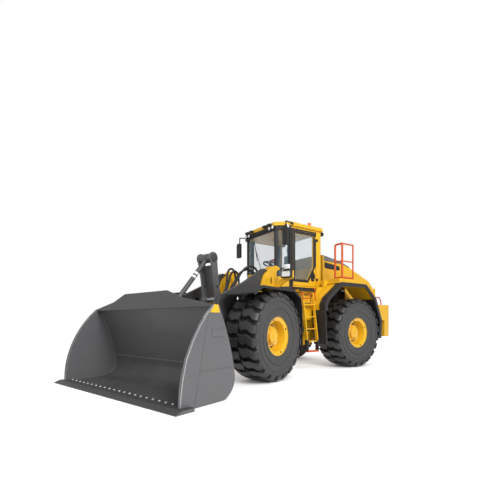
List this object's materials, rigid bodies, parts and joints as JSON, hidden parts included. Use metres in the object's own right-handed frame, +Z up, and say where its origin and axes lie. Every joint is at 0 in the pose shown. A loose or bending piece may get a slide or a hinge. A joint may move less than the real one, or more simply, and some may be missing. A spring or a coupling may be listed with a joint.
{
  "type": "wheel loader",
  "caption": "Large articulated wheel loader with a front bucket on lift arms, a glazed cab, hinged hood, deep rims and lugged tyres; it scoops, lifts and dumps loose material.",
  "frame": {"origin": "on the ground under the middle of the machine's box, with the front half turned 17 degrees to the left as pictured", "axes": "+X forward along the rear frame, +Y to the machine's left, +Z up"},
  "size_m": [9.1499, 4.7312, 3.745],
  "materials": {
    "yellow_paint": "gloss",
    "grey_paint": "satin",
    "black_paint": "satin",
    "orange_paint": "gloss",
    "tyre_rubber": "matte",
    "bright_steel": "polished",
    "edge_steel": "worn",
    "tinted_glass": "clear",
    "lamp_lens": "clear",
    "seat_fabric": "woven"
  },
  "bodies": {
    "rear_frame": {"rear_frame": "yellow_paint", "rear_axle": "yellow_paint", "hinge_pins": "bright_steel", "engine": "grey_paint", "counterweight": "yellow_paint", "tow_hitch": "grey_paint", "rear_fenders": "black_paint", "side_boxes": "yellow_paint", "ladders": "yellow_paint", "handrails": "orange_paint", "cowl": "yellow_paint", "engine_sides": "yellow_paint", "rear_grille": "black_paint", "exhaust": "black_paint", "cab_floor": "black_paint", "cab_posts": "yellow_paint", "cab_panels": "yellow_paint", "cab_glass": "tinted_glass", "cab_roof": "yellow_paint", "roof_lamps": "lamp_lens", "mirrors": "black_paint", "seat": "seat_fabric", "steering_column": "black_paint"},
    "front_frame": {"front_frame": "yellow_paint", "towers": "yellow_paint", "tilt_bracket": "yellow_paint", "front_axle": "yellow_paint", "front_fenders": "black_paint", "headlamps": "lamp_lens"},
    "boom": {"boom_arms": "grey_paint", "cross_tube": "grey_paint"},
    "bucket_pins": {"bucket_pins": "bright_steel"},
    "bucket": {"bucket_shell": "grey_paint", "bucket_sides": "grey_paint", "cutting_edge": "edge_steel"},
    "bellcrank_pin": {"bellcrank_pin": "bright_steel"},
    "bellcrank": {"bellcrank": "grey_paint"},
    "link_pin": {"link_pin": "bright_steel"},
    "bucket_link": {"bucket_link": "grey_paint"},
    "tilt_barrel": {"tilt_barrel": "grey_paint", "tilt_foot_pin": "bright_steel"},
    "tilt_rod": {"tilt_rod": "bright_steel"},
    "lift_barrels": {"lift_barrels": "grey_paint"},
    "lift_rods": {"lift_rods": "bright_steel"},
    "door": {"door": "yellow_paint", "door_glass": "tinted_glass"},
    "hood": {"hood": "yellow_paint"},
    "steer_barrel_left": {"steer_barrel_left": "grey_paint"},
    "steer_rod_left": {"steer_rod_left": "bright_steel"},
    "steer_barrel_right": {"steer_barrel_right": "grey_paint"},
    "steer_rod_right": {"steer_rod_right": "bright_steel"},
    "wheel_front_left": {"tyre_front_left": "tyre_rubber", "rim_front_left": "yellow_paint"},
    "wheel_front_right": {"tyre_front_right": "tyre_rubber", "rim_front_right": "yellow_paint"},
    "wheel_rear_left": {"tyre_rear_left": "tyre_rubber", "rim_rear_left": "yellow_paint"},
    "wheel_rear_right": {"tyre_rear_right": "tyre_rubber", "rim_rear_right": "yellow_paint"}
  },
  "joints": [
    {"name": "steer", "type": "hinge", "parent": "rear_frame", "child": "front_frame", "pos_m": [-0.51999, -0.78565, 0], "axis": [0, 0, 1], "range_deg": [-54, 20]},
    {"name": "wheel_front_left", "type": "hinge", "parent": "front_frame", "child": "wheel_front_left", "pos_m": [0.89833, 0.90281, 0.915], "axis": [-0.2924, 0.9563, 0], "continuous": true},
    {"name": "wheel_front_right", "type": "hinge", "parent": "front_frame", "child": "wheel_front_right", "pos_m": [1.60002, -1.39232, 0.915], "axis": [-0.2924, 0.9563, 0], "continuous": true},
    {"name": "wheel_rear_left", "type": "hinge", "parent": "rear_frame", "child": "wheel_rear_left", "pos_m": [-2.36999, 0.41435, 0.915], "axis": [0, 1, 0], "continuous": true},
    {"name": "wheel_rear_right", "type": "hinge", "parent": "rear_frame", "child": "wheel_rear_right", "pos_m": [-2.36999, -1.98565, 0.915], "axis": [0, 1, 0], "continuous": true},
    {"name": "lift", "type": "hinge", "parent": "front_frame", "child": "boom", "pos_m": [0.53195, -0.46404, 2.25], "axis": [0.2924, -0.9563, 0], "range_deg": [-1, 77]},
    {"name": "bucket_level", "type": "hinge", "parent": "boom", "child": "bucket_pins", "pos_m": [2.64538, 0.1821, 0.45], "axis": [0.2924, -0.9563, 0], "range_deg": [-77, 1]},
    {"name": "tilt", "type": "hinge", "parent": "bucket_pins", "child": "bucket", "pos_m": [2.64538, 0.1821, 0.45], "axis": [-0.2924, 0.9563, 0], "range_deg": [-43, 45]},
    {"name": "bellcrank_level", "type": "hinge", "parent": "boom", "child": "bellcrank_pin", "pos_m": [1.58388, -0.14243, 1.7], "axis": [0.2924, -0.9563, 0], "range_deg": [-77, 1]},
    {"name": "bellcrank_turn", "type": "hinge", "parent": "bellcrank_pin", "child": "bellcrank", "pos_m": [1.58388, -0.14243, 1.7], "axis": [-0.2924, 0.9563, 0], "range_deg": [-43, 45]},
    {"name": "link_level", "type": "hinge", "parent": "bellcrank", "child": "link_pin", "pos_m": [1.72445, -0.09945, 2.58792], "axis": [-0.2924, 0.9563, 0], "range_deg": [-45, 43]},
    {"name": "link_turn", "type": "hinge", "parent": "link_pin", "child": "bucket_link", "pos_m": [1.72445, -0.09945, 2.58792], "axis": [0.2924, -0.9563, 0], "range_deg": [-1, 77]},
    {"name": "tilt_foot_turn", "type": "hinge", "parent": "front_frame", "child": "tilt_barrel", "pos_m": [0.56055, -0.45529, 2.05225], "axis": [0.2924, -0.9563, 0], "range_deg": [-1, 77]},
    {"name": "tilt_rod_slide", "type": "slide", "parent": "tilt_barrel", "child": "tilt_rod", "axis": [0.8553, 0.2615, -0.4472], "range_m": [-0.08405, 0.08041]},
    {"name": "lift_barrel_turn", "type": "hinge", "parent": "front_frame", "child": "lift_barrels", "pos_m": [0.34069, -0.52251, 1.33], "axis": [0.2924, -0.9563, 0], "range_deg": [-0.74, 41.46]},
    {"name": "lift_rod_slide", "type": "slide", "parent": "lift_barrels", "child": "lift_rods", "axis": [0.9195, 0.2811, 0.2747], "range_m": [-0.01355, 0.89166]},
    {"name": "steer_barrel_left_turn", "type": "hinge", "parent": "rear_frame", "child": "steer_barrel_left", "pos_m": [-1.33999, -0.10565, 1], "axis": [0, 0, 1], "range_deg": [-19.35, 7.29]},
    {"name": "steer_rod_left_slide", "type": "slide", "parent": "steer_barrel_left", "child": "steer_rod_left", "axis": [0.9955, -0.0952, 0], "range_m": [-0.17268, 0.46285]},
    {"name": "steer_barrel_right_turn", "type": "hinge", "parent": "rear_frame", "child": "steer_barrel_right", "pos_m": [-1.33999, -1.46565, 1], "axis": [0, 0, 1], "range_deg": [-18.89, 7.12]},
    {"name": "steer_rod_right_slide", "type": "slide", "parent": "steer_barrel_right", "child": "steer_rod_right", "axis": [0.9543, 0.2987, 0], "range_m": [-0.48888, 0.18232]},
    {"name": "door", "type": "hinge", "parent": "rear_frame", "child": "door", "pos_m": [-1.47499, 0.08936, 2.8], "axis": [0, 0, 1], "range_deg": [0, 85]},
    {"name": "hood", "type": "hinge", "parent": "rear_frame", "child": "hood", "pos_m": [-4.07999, -0.78565, 2.268], "axis": [0, -1, 0], "range_deg": [0, 50]}
  ],
  "couplings": [
    {"joint": "bucket_level", "follows": "lift", "ratio": -1},
    {"joint": "bellcrank_level", "follows": "lift", "ratio": -1},
    {"joint": "bellcrank_turn", "follows": "tilt", "ratio": 1},
    {"joint": "link_level", "follows": "tilt", "ratio": -1},
    {"joint": "link_turn", "follows": "lift", "ratio": 1},
    {"joint": "tilt_foot_turn", "follows": "lift", "ratio": 1},
    {"joint": "tilt_rod_slide", "follows": "tilt", "m_per_rad": -0.10447},
    {"joint": "lift_barrel_turn", "follows": "lift", "ratio": 0.53587},
    {"joint": "lift_rod_slide", "follows": "lift", "m_per_rad": 0.662},
    {"joint": "steer_barrel_left_turn", "follows": "steer", "ratio": 0.35466},
    {"joint": "steer_rod_left_slide", "follows": "steer", "m_per_rad": -0.48897},
    {"joint": "steer_barrel_right_turn", "follows": "steer", "ratio": 0.34614},
    {"joint": "steer_rod_right_slide", "follows": "steer", "m_per_rad": 0.51659}
  ]
}
